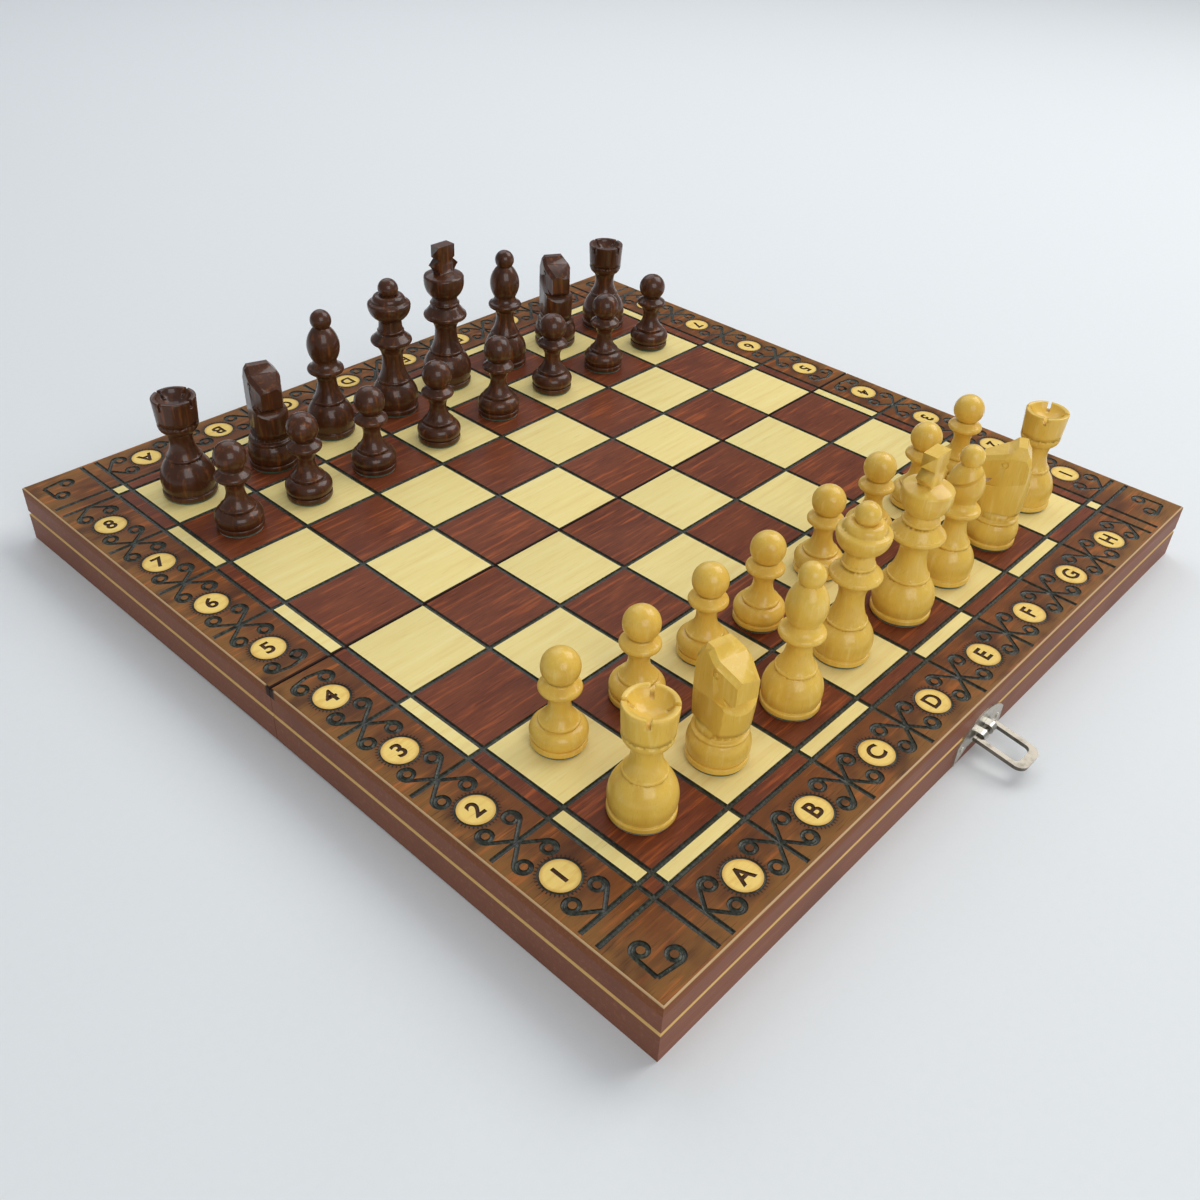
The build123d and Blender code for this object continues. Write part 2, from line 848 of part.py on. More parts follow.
def turned_king():
    crown_inner = king_crown_radius - edge_depth
    crown_top = king_crown_level + edge_height / 2
    waist_foot = (king_waist_radius - bead_depth, king_waist_level - bead_height / 2)
    waist_top = (king_waist_radius - bead_depth, king_waist_level + bead_height / 2)
    dome_top = crown_top + king_dome_height
    with BuildPart() as king:
        with BuildSketch(Plane.XZ):
            with BuildLine():
                foot_outline(
                    king_base_radius,
                    king_bulb_radius,
                    king_bulb_level,
                    king_bulb_top,
                    king_shoulder_radius,
                )
                column_outline(
                    king_shoulder_radius,
                    king_bulb_top,
                    king_neck_radius,
                    king_neck_level,
                    king_collar_radius,
                    king_collar_level,
                )
                edge_outline(king_collar_radius, king_collar_level)
                Line((king_collar_radius - edge_depth, king_collar_level + edge_height / 2), waist_foot)
                edge_outline(king_waist_radius, king_waist_level, bead_depth, bead_height)
                TangentArc((king_cup_radius, king_bowl_level), waist_top, tangent=(0, -1))
                TangentArc(
                    (king_crown_radius, king_bowl_top),
                    (king_cup_radius, king_bowl_level),
                    tangent=(0, -1),
                )
                Line((king_crown_radius, king_bowl_top), (king_crown_radius, king_crown_level))
                TangentArc((king_crown_radius, king_crown_level), (crown_inner, crown_top), tangent=(0, 1))
                TangentArc((0, dome_top), (crown_inner, crown_top), tangent=(1, 0))
                Line((0, dome_top), (0, wood_bottom))
            make_face()
        revolve(axis=Axis.Z)
        with BuildSketch(Plane.XZ):
            with BuildLine():
                Line((0, king_crown_level), (king_cross_stem, king_crown_level))
                TangentArc(
                    (king_cross_stem, king_crown_level),
                    (king_cross_arm, king_cross_arm_level),
                    tangent=(0, 1),
                )
                Polyline(
                    (king_cross_arm, king_cross_arm_level),
                    (king_cross_notch, king_cross_notch_level),
                    (king_cross_head, king_cross_notch_level + edge_depth),
                    (king_cross_head, king_height),
                    (0, king_height),
                    (0, king_crown_level),
                )
            make_face()
            mirror(about=Plane.YZ)
        extrude(amount=king_cross_thickness / 2, both=True)
        magnet_pocket(king_magnet_radius)
        magnet_and_felt(king_base_radius, king_magnet_radius)
    return king


def knight_blank():
    """Turned barrel that the neck is carved from, with the block for the snout in front."""
    half = knight_head_thickness / 2
    with BuildPart() as blank:
        with BuildSketch(Plane.XZ):
            with BuildLine():
                Line((0, knight_barrel_foot), (knight_shoulder_radius, knight_barrel_foot))
                ThreePointArc(
                    (knight_shoulder_radius, knight_barrel_foot),
                    (knight_barrel_radius, knight_barrel_level),
                    (knight_barrel_top_radius, knight_height),
                )
                Line((knight_barrel_top_radius, knight_height), (0, knight_height))
                Line((0, knight_height), (0, knight_barrel_foot))
            make_face()
        revolve(axis=Axis.Z)
        with BuildSketch(Plane.XY.offset(knight_throat_foot)):
            with Locations((knight_nose_reach / 2, 0)):
                Rectangle(knight_nose_reach, 2 * half)
        extrude(amount=knight_height - knight_throat_foot)
    return blank


def snout_taper():
    """Wedges that narrow the snout in plan, from the eye forwards."""
    half = knight_head_thickness / 2
    with BuildPart() as wedges:
        with BuildSketch(Plane.XY.offset(knight_throat_foot)):
            with BuildLine():
                Polyline(
                    (knight_snout_start, half),
                    (knight_nose_reach, knight_nose_thickness / 2),
                    (knight_nose_reach + past, knight_nose_thickness / 2),
                    (knight_nose_reach + past, half + past),
                    (knight_snout_start, half + past),
                    close=True,
                )
            make_face()
            mirror(about=Plane.XZ)
        extrude(amount=knight_height)
    return wedges


def crest_taper():
    """Wedges that narrow the head towards the crest, seen from in front."""
    half = knight_head_thickness / 2
    with BuildPart() as wedges:
        with BuildSketch(Plane.YZ):
            with BuildLine():
                Polyline(
                    (half, knight_taper_level),
                    (knight_crest_thickness / 2, knight_height),
                    (knight_crest_thickness / 2, knight_height + past),
                    (half + past, knight_height + past),
                    (half + past, knight_taper_level),
                    close=True,
                )
            make_face()
            mirror(about=Plane.XZ)
        extrude(amount=2 * knight_nose_reach, both=True)
    return wedges


def knight_profile():
    """Side outline of neck and head, facing +X."""
    Polyline(
        (-knight_barrel_radius, knight_barrel_level),
        (-knight_barrel_radius, knight_barrel_foot),
        (knight_barrel_radius, knight_barrel_foot),
        (knight_barrel_radius, knight_chest_top),
        (knight_throat_foot_reach, knight_throat_foot),
        (knight_throat_reach, knight_throat_level),
        (knight_jaw_reach, knight_jaw_level),
        (knight_nose_reach, knight_nose_bottom),
        (knight_nose_reach, knight_nose_top),
        (knight_brow_reach, knight_brow_level),
        (-knight_poll_front, knight_height),
        (-knight_poll_back, knight_height),
        (-knight_nape_reach, knight_nape_level),
    )
    TangentArc(
        (-knight_barrel_radius, knight_barrel_level),
        (-knight_nape_reach, knight_nape_level),
        tangent=(0, 1),
    )


def carved_knight():
    """Knight that faces along +X."""
    blank = knight_blank()
    cheeks = snout_taper()
    temples = crest_taper()
    neck_foot = knight_bulb_top + bead_height
    half = knight_head_thickness / 2
    with BuildPart() as eyes:
        with Locations(
            Location((knight_eye_reach, -half, knight_eye_level), (90, 0, 0)),
            Location((knight_eye_reach, half, knight_eye_level), (90, 0, 0)),
        ):
            Cylinder(knight_eye_radius, 2 * knight_eye_depth)
            Cylinder(knight_eye_pupil, 2 * knight_eye_depth + past, mode=Mode.SUBTRACT)
    with BuildPart() as knight:
        with BuildSketch(Plane.XZ):
            with BuildLine():
                knight_profile()
            make_face()
        extrude(amount=half, both=True)
        add(cheeks.part, mode=Mode.SUBTRACT)
        upper_edges = [
            edge
            for edge in knight.edges()
            if edge.center().Z > knight_nose_top and abs(edge.center().Y) > knight_nose_thickness / 3
        ]
        chamfer(upper_edges, knight_facet)
        add(temples.part, mode=Mode.SUBTRACT)
        add(blank.part, mode=Mode.INTERSECT)
        add(eyes.part, mode=Mode.SUBTRACT)
        with BuildSketch(Plane.XZ):
            with BuildLine():
                foot_outline(
                    knight_base_radius,
                    knight_bulb_radius,
                    knight_bulb_level,
                    knight_bulb_top,
                    knight_shoulder_radius,
                )
                Polyline(
                    (knight_shoulder_radius - bead_depth, neck_foot),
                    (knight_cove_radius, neck_foot + bead_depth),
                    (knight_cove_radius, knight_barrel_foot),
                    (0, knight_barrel_foot),
                    (0, wood_bottom),
                )
            make_face()
        revolve(axis=Axis.Z)
        magnet_pocket(knight_magnet_radius)
        magnet_and_felt(knight_base_radius, knight_magnet_radius)
    return knight


# Board pieces, half by half
board_pieces = {}
for half_name, side, wall_name in (("near", -1, "near_front_wall"), ("far", 1, "far_back_wall")):
    board_pieces[half_name + "_panel"] = playing_panel(side)
    board_pieces[wall_name] = outer_wall(side)
    board_pieces[half_name + "_left_wall"] = side_wall(side, -1)
    board_pieces[half_name + "_right_wall"] = side_wall(side, 1)
    board_pieces[half_name + "_spine_wall"] = spine_wall(side)
    board_pieces[half_name + "_steel_sheet"] = inner_sheet(side, sheet_bottom, sheet_thickness)
    board_pieces[half_name + "_felt_lining"] = inner_sheet(side, lining_bottom, lining_thickness)
    board_pieces[half_name + "_hinge_leaf_left"] = hinge_leaf(side, hinge_places[0])
    board_pieces[half_name + "_hinge_leaf_right"] = hinge_leaf(side, hinge_places[1])
    board_pieces[half_name + "_hinge_screws"] = hinge_screws(side)
board_pieces["hinge_pin_left"] = hinge_pin(hinge_places[0])
board_pieces["hinge_pin_right"] = hinge_pin(hinge_places[1])
board_pieces["latch_plate"] = latch_plate_with_knuckles()
board_pieces["latch_nails"] = plate_nails(-1)
board_pieces["latch_bail"] = bail()
board_pieces["catch_plate"] = catch_plate_with_hook()
board_pieces["catch_nails"] = plate_nails(1)
for name, piece in board_pieces.items():
    piece.part.label = name
    export_step(piece.part, f"parts/{name}.step")

# Men: the kind on each file of the back rank, and how far off the middle of its square a man stands
kinds = {
    "rook": turned_rook(),
    "knight": carved_knight(),
    "bishop": turned_bishop(),
    "queen": turned_queen(),
    "king": turned_king(),
    "pawn": turned_pawn(),
}
files = "abcdefgh"
back_rank = ["rook", "knight", "bishop", "queen", "king", "bishop", "knight", "rook"]
off_middle = {
    "a1": (-1.7, 0.3),
    "b1": (-2.4, -1.0),
    "c1": (-0.5, -2.7),
    "d1": (-0.8, 0.5),
    "e1": (0.7, -1.4),
    "f1": (-2.4, -1.0),
    "g1": (-1.6, -1.2),
    "h1": (0.5, 2.8),
    "a2": (1.6, 3.2),
    "c2": (-1.0, -0.7),
    "d2": (-6.6, -2.8),
    "a7": (-0.9, 0.0),
    "b7": (-3.2, 0.0),
    "c7": (-5.1, 0.0),
    "d7": (-4.4, -0.5),
    "e7": (-3.2, 0.0),
    "f7": (-2.9, 0.6),
    "g7": (-2.4, 0.0),
    "h7": (-1.7, 1.2),
    "a8": (-1.2, 0.0),
    "b8": (1.8, -3.0),
    "c8": (0.8, 2.4),
    "e8": (0.0, 4.0),
    "f8": (0.0, 1.0),
    "g8": (0.0, 1.0),
}
turned = {
    "a1": 37.0,
    "h1": 20.0,
    "a8": 19.0,
    "b1": -104.0,
    "g1": 115.0,
    "b8": -108.0,
    "g8": -120.0,
    "f1": -137.0,
    "c1": 60.0,
}


def stand_man(name, kind, place):
    """A man of one kind on the square called place, written as its own node."""
    file_number = files.index(place[0])
    rank_number = int(place[1])
    shift_x, shift_y = off_middle.get(place, (0.0, 0.0))
    x = (file_number - 3.5) * square + shift_x
    y = (rank_number - 4.5) * square + shift_y
    with BuildPart() as man:
        with Locations(Location((x, y, men_level), (0, 0, turned.get(place, 0.0)))):
            add(kinds[kind].part)
    man.part.label = name
    export_step(man.part, f"parts/{name}.step")


for colour, home, pawn_rank in (("white", 1, 2), ("black", 8, 7)):
    for file_letter, kind in zip(files, back_rank):
        name = f"{colour}_{kind}"
        if kind not in ("queen", "king"):
            name = f"{name}_{file_letter}"
        stand_man(name, kind, f"{file_letter}{home}")
        stand_man(f"{colour}_pawn_{file_letter}", "pawn", f"{file_letter}{pawn_rank}")
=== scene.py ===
# %% [markdown]
# # A magnetic folding chess set
# The set is a plywood board in two halves, each the lid of a shallow tray, hinged along the middle so
# that the trays shut on each other like a box. The imported model gives every piece its place, so the
# looks are built around it and never move it. Here the frame is loaded.

# %% Load the frame
import json
from math import atan2, cos, pi, radians, sin

import bmesh
import bpy
from mathutils import Matrix, Vector

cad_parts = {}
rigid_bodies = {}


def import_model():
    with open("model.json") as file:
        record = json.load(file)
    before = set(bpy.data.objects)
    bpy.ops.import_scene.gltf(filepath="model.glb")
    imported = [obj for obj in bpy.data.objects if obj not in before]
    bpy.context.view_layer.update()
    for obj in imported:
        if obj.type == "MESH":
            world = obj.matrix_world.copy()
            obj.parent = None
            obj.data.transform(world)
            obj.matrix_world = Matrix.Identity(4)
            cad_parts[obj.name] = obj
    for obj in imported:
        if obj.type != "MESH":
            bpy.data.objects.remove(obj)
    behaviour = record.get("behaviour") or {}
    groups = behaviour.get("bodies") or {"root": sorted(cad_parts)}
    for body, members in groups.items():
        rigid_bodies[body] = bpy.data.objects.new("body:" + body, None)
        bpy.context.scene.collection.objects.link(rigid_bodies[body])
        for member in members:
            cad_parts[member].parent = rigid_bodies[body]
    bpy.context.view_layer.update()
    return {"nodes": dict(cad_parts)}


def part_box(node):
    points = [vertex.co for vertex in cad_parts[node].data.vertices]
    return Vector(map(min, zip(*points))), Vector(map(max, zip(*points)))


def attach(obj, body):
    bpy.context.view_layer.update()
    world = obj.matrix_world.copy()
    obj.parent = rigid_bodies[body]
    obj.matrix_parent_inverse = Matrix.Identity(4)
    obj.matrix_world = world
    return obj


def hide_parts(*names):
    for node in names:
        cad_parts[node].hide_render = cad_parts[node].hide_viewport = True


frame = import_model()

MM = 0.001

# %% [markdown]
# ## The camera
# A product photograph like this one is taken from one corner of the board, a little above the men. The
# camera stands at the photograph's viewpoint and looks down by 37 degrees, with the slight tilt to one
# side that a hand-held shot has. The lens is given for a sensor 36 mm wide.

# %% Camera
CAMERA_PLACE = Vector((-317.2, -270.1, 285.0)) * MM
CAMERA_AZIMUTH = 48.863
CAMERA_PITCH = 37.049
CAMERA_ROLL = 2.995
CAMERA_LENS = 35.567


def make_camera():
    """A camera that looks along an azimuth from +Y towards +X, down by the pitch, and is rolled."""
    data = bpy.data.cameras.new("camera")
    data.lens = CAMERA_LENS
    data.sensor_width = 36.0
    camera = bpy.data.objects.new("camera", data)
    bpy.context.scene.collection.objects.link(camera)
    turn = Matrix.Rotation(radians(-CAMERA_AZIMUTH), 4, "Z")
    tilt = Matrix.Rotation(radians(90 - CAMERA_PITCH), 4, "X")
    roll = Matrix.Rotation(radians(CAMERA_ROLL), 4, "Z")
    camera.matrix_world = Matrix.Translation(CAMERA_PLACE) @ turn @ tilt @ roll
    bpy.context.scene.camera = camera
    return camera


make_camera()
print("camera at", [round(v, 3) for v in CAMERA_PLACE])

# %% [markdown]
# ## Sizes
# Every size below is a real one in millimetres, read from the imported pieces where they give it. The
# playing face is 34.8 mm squares inside a narrow strip and a broad border.

# %% Sizes of the board
near_low, near_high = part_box("near_panel")
far_low, far_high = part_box("far_panel")
HALF = far_high.x / MM
TOP = far_high.z / MM
PANEL_BOTTOM = far_low.z / MM
FOLD_FACE = far_low.y / MM
SQUARE = 34.8
STRIP = 6.3
FIELD = 4 * SQUARE
LINE_WIDTH = 1.8
LINE_DEPTH = 0.6
LINE_MARGIN = 1.5
ARRIS = 0.6
print("board half", round(HALF, 2), "top", round(TOP, 2), "fold face", round(FOLD_FACE, 2))
print("near panel from", [round(v, 4) for v in near_low], "to", [round(v, 4) for v in near_high])

# %% [markdown]
# ## Working by hand, in code
# A modeller clicks a piece, goes into edit mode, picks faces and edges and works on them. The helpers
# here do the same: one clears the selection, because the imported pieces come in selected, and one
# picks vertices or faces by where they are.

# %% Helpers for edit mode
def start_clean():
    """Object mode with nothing selected."""
    if bpy.context.object and bpy.context.object.mode != "OBJECT":
        bpy.ops.object.mode_set(mode="OBJECT")
    bpy.ops.object.select_all(action="DESELECT")


def only(piece):
    """The piece alone selected and active, in object mode."""
    start_clean()
    piece.select_set(True)
    bpy.context.view_layer.objects.active = piece


def pick(piece, kind, wanted):
    """Edit mode with the vertices, edges or faces selected for which wanted(part) is true."""
    only(piece)
    bpy.ops.object.mode_set(mode="EDIT")
    bpy.ops.mesh.select_mode(type=kind)
    bpy.ops.mesh.select_all(action="DESELECT")
    mesh = bmesh.from_edit_mesh(piece.data)
    parts = {"VERT": mesh.verts, "EDGE": mesh.edges, "FACE": mesh.faces}[kind]
    chosen = [part for part in parts if wanted(part)]
    for part in chosen:
        part.select_set(True)
    bmesh.update_edit_mesh(piece.data)
    return len(chosen)


def triangles(piece):
    """How many triangles a mesh piece comes to."""
    return sum(len(face.vertices) - 2 for face in piece.data.polygons)


# %% [markdown]
# ## Finishes
# Stained and lacquered wood is painted in layers, as a finisher does it: a ground colour, grain over
# it, darker pores, and scorched places beside the burnt lines. Each layer lies where a mask says.
# Colours are written as on a paint card, in sRGB, and one function turns them to the linear values
# that the renderer wants.

# %% Helpers for materials
def linear(hex_code):
    """Linear colour of an sRGB hex value."""
    shares = [int(hex_code[i:i + 2], 16) / 255 for i in (1, 3, 5)]
    return [s / 12.92 if s <= 0.04045 else ((s + 0.055) / 1.055) ** 2.4 for s in shares] + [1.0]


def add_node(material, kind, inputs=None, **settings):
    """A node with its settings, and with values or other nodes' outputs on its inputs."""
    made = material.node_tree.nodes.new(kind)
    for name, value in settings.items():
        setattr(made, name, value)
    for key, value in (inputs or {}).items():
        if isinstance(value, bpy.types.NodeSocket):
            material.node_tree.links.new(value, made.inputs[key])
        else:
            made.inputs[key].default_value = value
    return made


def streaks(material, along, length, width, detail=3.0):
    """Noise drawn out along one axis (0, 1 or 2 for X, Y or Z): streaks of a real length and width in mm."""
    stretch = [1 / (width * MM)] * 3
    stretch[along] = 1 / (length * MM)
    place = add_node(material, "ShaderNodeTexCoord")
    drawn = add_node(material, "ShaderNodeMapping", {"Vector": place.outputs["Object"], "Scale": stretch})
    noise = {"Vector": drawn.outputs["Vector"], "Scale": 1.0, "Detail": detail, "Roughness": 0.6}
    return add_node(material, "ShaderNodeTexNoise", noise).outputs["Fac"]


def in_layers(material, ground, layers):
    """A ground colour with tints over it.

    A layer is (mask, where it starts, where it is full, strength, tint).
    """
    colour = linear(ground)
    for mask, start, full, strength, tint in layers:
        amount = {"Value": mask, "From Min": start, "From Max": full, "To Max": strength}
        amount = add_node(material, "ShaderNodeMapRange", amount, interpolation_type="SMOOTHSTEP")
        inks = {0: amount.outputs["Result"], 6: colour, 7: linear(tint)}
        colour = add_node(material, "ShaderNodeMix", inks, data_type="RGBA").outputs[2]
    return colour


def dress(material, colour, relief, depth, values):
    """Gives a material's shader its colour, its relief with a depth in mm, and its plain values."""
    shader = material.node_tree.nodes["Principled BSDF"]
    material.node_tree.links.new(colour, shader.inputs["Base Color"])
    bump = add_node(material, "ShaderNodeBump", {"Height": relief, "Distance": depth * MM})
    material.node_tree.links.new(bump.outputs["Normal"], shader.inputs["Normal"])
    for name, value in values.items():
        shader.inputs[name].default_value = value
    return material


def new_material(name):
    """A material with nodes, named for what it is on the object."""
    material = bpy.data.materials.new(name)
    material.use_nodes = True
    return material


LACQUER = {"Roughness": 0.5, "Specular IOR Level": 0.12, "Coat Weight": 0.07, "Coat Roughness": 0.2}
print("lacquer", LACQUER)

# %% [markdown]
# ## The playing face
# The face is birch plywood, left pale on the light squares and stained reddish brown on the dark ones,
# with the grain along the files. Squares, strips and border share the grain, so each finish takes it
# from the same streaks along X, and only the tints differ.

# %% Finishes of the face
def pale_square():
    """Bare birch under lacquer: creamy, with faint long grain and small darker flecks."""
    material = new_material("lacquered_birch")
    broad = streaks(material, 0, 45, 3.0)
    fine = streaks(material, 0, 9, 0.45, detail=2.0)
    layers = [(broad, 0.45, 0.75, 0.5, "#E6C67C"), (broad, 0.5, 0.25, 0.4, "#F7E9AC")]
    layers += [(fine, 0.58, 0.8, 0.35, "#D0A55E")]
    colour = in_layers(material, "#F1DC92", layers)
    return dress(material, colour, fine, 0.02, LACQUER)


def stained_square():
    """Mahogany-coloured stain: red-brown, with orange streaks where the wood took less of it."""
    material = new_material("mahogany_stained_birch")
    broad = streaks(material, 0, 30, 2.2)
    fine = streaks(material, 0, 10, 0.5, detail=2.0)
    cloud = streaks(material, 0, 26, 12, detail=1.0)
    layers = [(cloud, 0.4, 0.7, 0.6, "#612D1B"), (broad, 0.5, 0.75, 0.8, "#B05A2C")]
    layers += [(fine, 0.54, 0.72, 0.65, "#401D14"), (fine, 0.44, 0.27, 0.5, "#9A5230")]
    colour = in_layers(material, "#733B22", layers)
    return dress(material, colour, fine, 0.03, LACQUER)


print(pale_square().name, stained_square().name)

# %% [markdown]
# Around the squares the same stain is darker, because it was laid on thicker and then scorched beside
# the burnt lines, and towards the rim it turns to a yellow-brown. The little discs stay bare. The
# grooves themselves are charred: a grey-green black with paler grey-green flecks painted in as the
# reflection of the sky in their lacquer, and uneven, because the hot tool was moved in small steps.

# %% Finishes of the border, the discs and the grooves
RIM_START, RIM_FULL = 0.151, 0.169
CELL_MAP = "cell"
TICKS = 36


def rim_distance(material):
    """How far a point is from the board's middle, along X or Y, whichever is more, in metres."""
    place = add_node(material, "ShaderNodeTexCoord")
    split = add_node(material, "ShaderNodeSeparateXYZ", {0: place.outputs["Object"]})
    across = add_node(material, "ShaderNodeMath", {0: split.outputs[0]}, operation="ABSOLUTE")
    along = add_node(material, "ShaderNodeMath", {0: split.outputs[1]}, operation="ABSOLUTE")
    sides = {0: across.outputs[0], 1: along.outputs[0]}
    return add_node(material, "ShaderNodeMath", sides, operation="MAXIMUM").outputs[0]


def about_disc(material):
    """Distance from the nearest disc's middle in mm, and a wave of TICKS crests around it."""
    cell = add_node(material, "ShaderNodeUVMap", uv_map=CELL_MAP).outputs["UV"]
    away = add_node(material, "ShaderNodeVectorMath", {0: cell}, operation="LENGTH").outputs["Value"]
    split = add_node(material, "ShaderNodeSeparateXYZ", {0: cell})
    sides = {0: split.outputs[1], 1: split.outputs[0]}
    angle = add_node(material, "ShaderNodeMath", sides, operation="ARCTAN2").outputs[0]
    turns = add_node(material, "ShaderNodeMath", {0: angle, 1: TICKS}, operation="MULTIPLY").outputs[0]
    return away, add_node(material, "ShaderNodeMath", {0: turns}, operation="SINE").outputs[0]


def band(material, value, rise, fall):
    """A mask that climbs over the first span of a value and drops over the second."""
    masks = []
    for start, full in (rise, fall):
        span = {"Value": value, "From Min": start, "From Max": full}
        masks.append(add_node(material, "ShaderNodeMapRange", span).outputs["Result"])
    return add_node(material, "ShaderNodeMath", {0: masks[0], 1: masks[1]}, operation="MULTIPLY").outputs[0]


def border():
    """Stain over the border: red-brown by the squares, yellow-brown at the rim, scorched about the discs."""
    material = new_material("scorched_border_stain")
    broad = streaks(material, 0, 26, 2.4)
    fine = streaks(material, 0, 10, 0.5, detail=2.0)
    cloud = streaks(material, 0, 20, 11, detail=2.0)
    away, wave = about_disc(material)
    near = band(material, away, (7.8, 7.3), (6.6, 6.8))
    ticks = add_node(material, "ShaderNodeMath", {0: near, 1: wave}, operation="MULTIPLY").outputs[0]
    layers = [(rim_distance(material), RIM_START, RIM_FULL, 0.7, "#8A602C")]
    layers += [(broad, 0.5, 0.77, 0.8, "#BC682C"), (cloud, 0.46, 0.7, 0.75, "#4C2A15")]
    layers += [(fine, 0.54, 0.74, 0.65, "#3B2010"), (cloud, 0.4, 0.2, 0.5, "#A2602A")]
    layers += [(away, 10.5, 6.0, 0.5, "#4A2814"), (ticks, 0.15, 0.5, 0.85, "#261B10")]
    colour = in_layers(material, "#74421C", layers)
    return dress(material, colour, fine, 0.03, LACQUER)


def burnt_line():
    """Charred groove: grey-green black with paler flecks of painted reflection, beaded every millimetre or
    so by the steps of the hot tool.
    """
    material = new_material("charred_groove")
    place = add_node(material, "ShaderNodeTexCoord")
    cells = {"Vector": place.outputs["Object"], "Scale": 1 / (1.1 * MM)}
    beads = add_node(material, "ShaderNodeTexVoronoi", cells).outputs["Distance"]
    pale_flecks = streaks(material, 2, 2.5, 2.5, detail=2.0)
    # The paler grey-green flecks are a painted reflection of the sky in the lacquered groove.
    layers = [(pale_flecks, 0.5, 0.75, 0.7, "#4C5443"), (beads, 0.35, 0.8, 0.7, "#12120C")]
    colour = in_layers(material, "#2B2F23", layers)
    values = {"Roughness": 0.45, "Specular IOR Level": 0.3, "Coat Weight": 0.3, "Coat Roughness": 0.25}
    return dress(material, colour, beads, -0.25, values)


def bare_disc():
    """The bare disc behind a letter or number: pale birch, browned towards its burnt ring."""
    material = new_material("bare_birch_disc")
    fine = streaks(material, 0, 9, 0.5, detail=2.0)
    cloud = streaks(material, 0, 7, 3, detail=2.0)
    layers = [(cloud, 0.45, 0.75, 0.6, "#E2B455"), (fine, 0.58, 0.8, 0.45, "#C69642")]
    layers += [(about_disc(material)[0], 4.6, 6.2, 0.6, "#BC8230")]
    colour = in_layers(material, "#F5D378", layers)
    return dress(material, colour, fine, 0.02, LACQUER)


def burnt_letter():
    """Letter or number burnt into a bare disc: not as deep as the grooves, so a dark brown char."""
    material = new_material("brown_burnt_letter")
    pale_flecks = streaks(material, 2, 1.5, 1.5, detail=2.0)
    colour = in_layers(material, "#3E2410", [(pale_flecks, 0.45, 0.75, 0.7, "#6A4322")])
    return dress(material, colour, pale_flecks, 0.05, LACQUER)


def panel_edge():
    """The panel's edge: all its plies under a dark stain, pale at the arris partly from wear and partly as a
    painted highlight, and painted shade near the fold.
    """
    material = new_material("dark_stained_ply_edge")
    broad = streaks(material, 0, 40, 1.0)
    place = add_node(material, "ShaderNodeTexCoord")
    split = add_node(material, "ShaderNodeSeparateXYZ", {0: place.outputs["Object"]})
    level = split.outputs[2]
    from_fold = add_node(material, "ShaderNodeMath", {0: split.outputs[1]}, operation="ABSOLUTE").outputs[0]
    layers = [(broad, 0.5, 0.8, 0.6, "#A4683C")]
    # Pale top arris: partly real wear, partly a painted highlight of the light the rounded arris catches.
    layers += [(level, (TOP - 0.55) * MM, (TOP - 0.25) * MM, 0.75, "#D9B98A")]
    # Painted shade: the edge goes nearly black near the fold, where the narrow gap between the halves lies
    # in shadow.
    layers += [(from_fold, 3 * MM, 1.5 * MM, 1.0, "#2B1A12")]
    colour = in_layers(material, "#804A2A", layers)
    return dress(material, colour, broad, 0.05, LACQUER)


FACE_FINISHES = [pale_square(), stained_square(), border(), burnt_line(), bare_disc()]
FACE_FINISHES += [burnt_letter(), panel_edge()]
PALE, STAINED, BORDER, BURNT, DISC, LETTER, EDGE = range(len(FACE_FINISHES))
print([finish.name for finish in FACE_FINISHES])

# %% [markdown]
# ## The two halves of the face
# Each half is a plywood panel with a grid of burnt grooves. It starts as a cube stretched to the
# panel's size. Its upper arrises are bevelled, the face is bisected along both lips and both sides of
# the bed of every groove, and the beds are then pressed flat to their depth. That gives real grooves
# with sloping sides, which end short of the rim as the burnt ones do.

# %% Panels and their grid of grooves
BED_WIDTH = 0.9
FILE_LINES = [i * SQUARE for i in range(-4, 5)] + [-FIELD - STRIP, FIELD + STRIP]
RANK_LINES = [i * SQUARE for i in range(1, 5)] + [FIELD + STRIP]
GROOVE_END = HALF - LINE_MARGIN
END_RAMP = 0.6
NEAR = 0.01


def bisect_at(axis, places):
    """Cuts the whole edit mesh with planes square to one axis, at places in mm."""
    facing = [0.0, 0.0, 0.0]
    facing[axis] = 1.0
    for place in places:
        bpy.ops.mesh.select_all(action="SELECT")
        bpy.ops.mesh.bisect(plane_co=[n * place * MM for n in facing], plane_no=facing)


def near_line(value, lines, reach):
    """True if a coordinate in mm lies within reach of one of the lines."""
    return any(abs(value - line) < reach for line in lines)


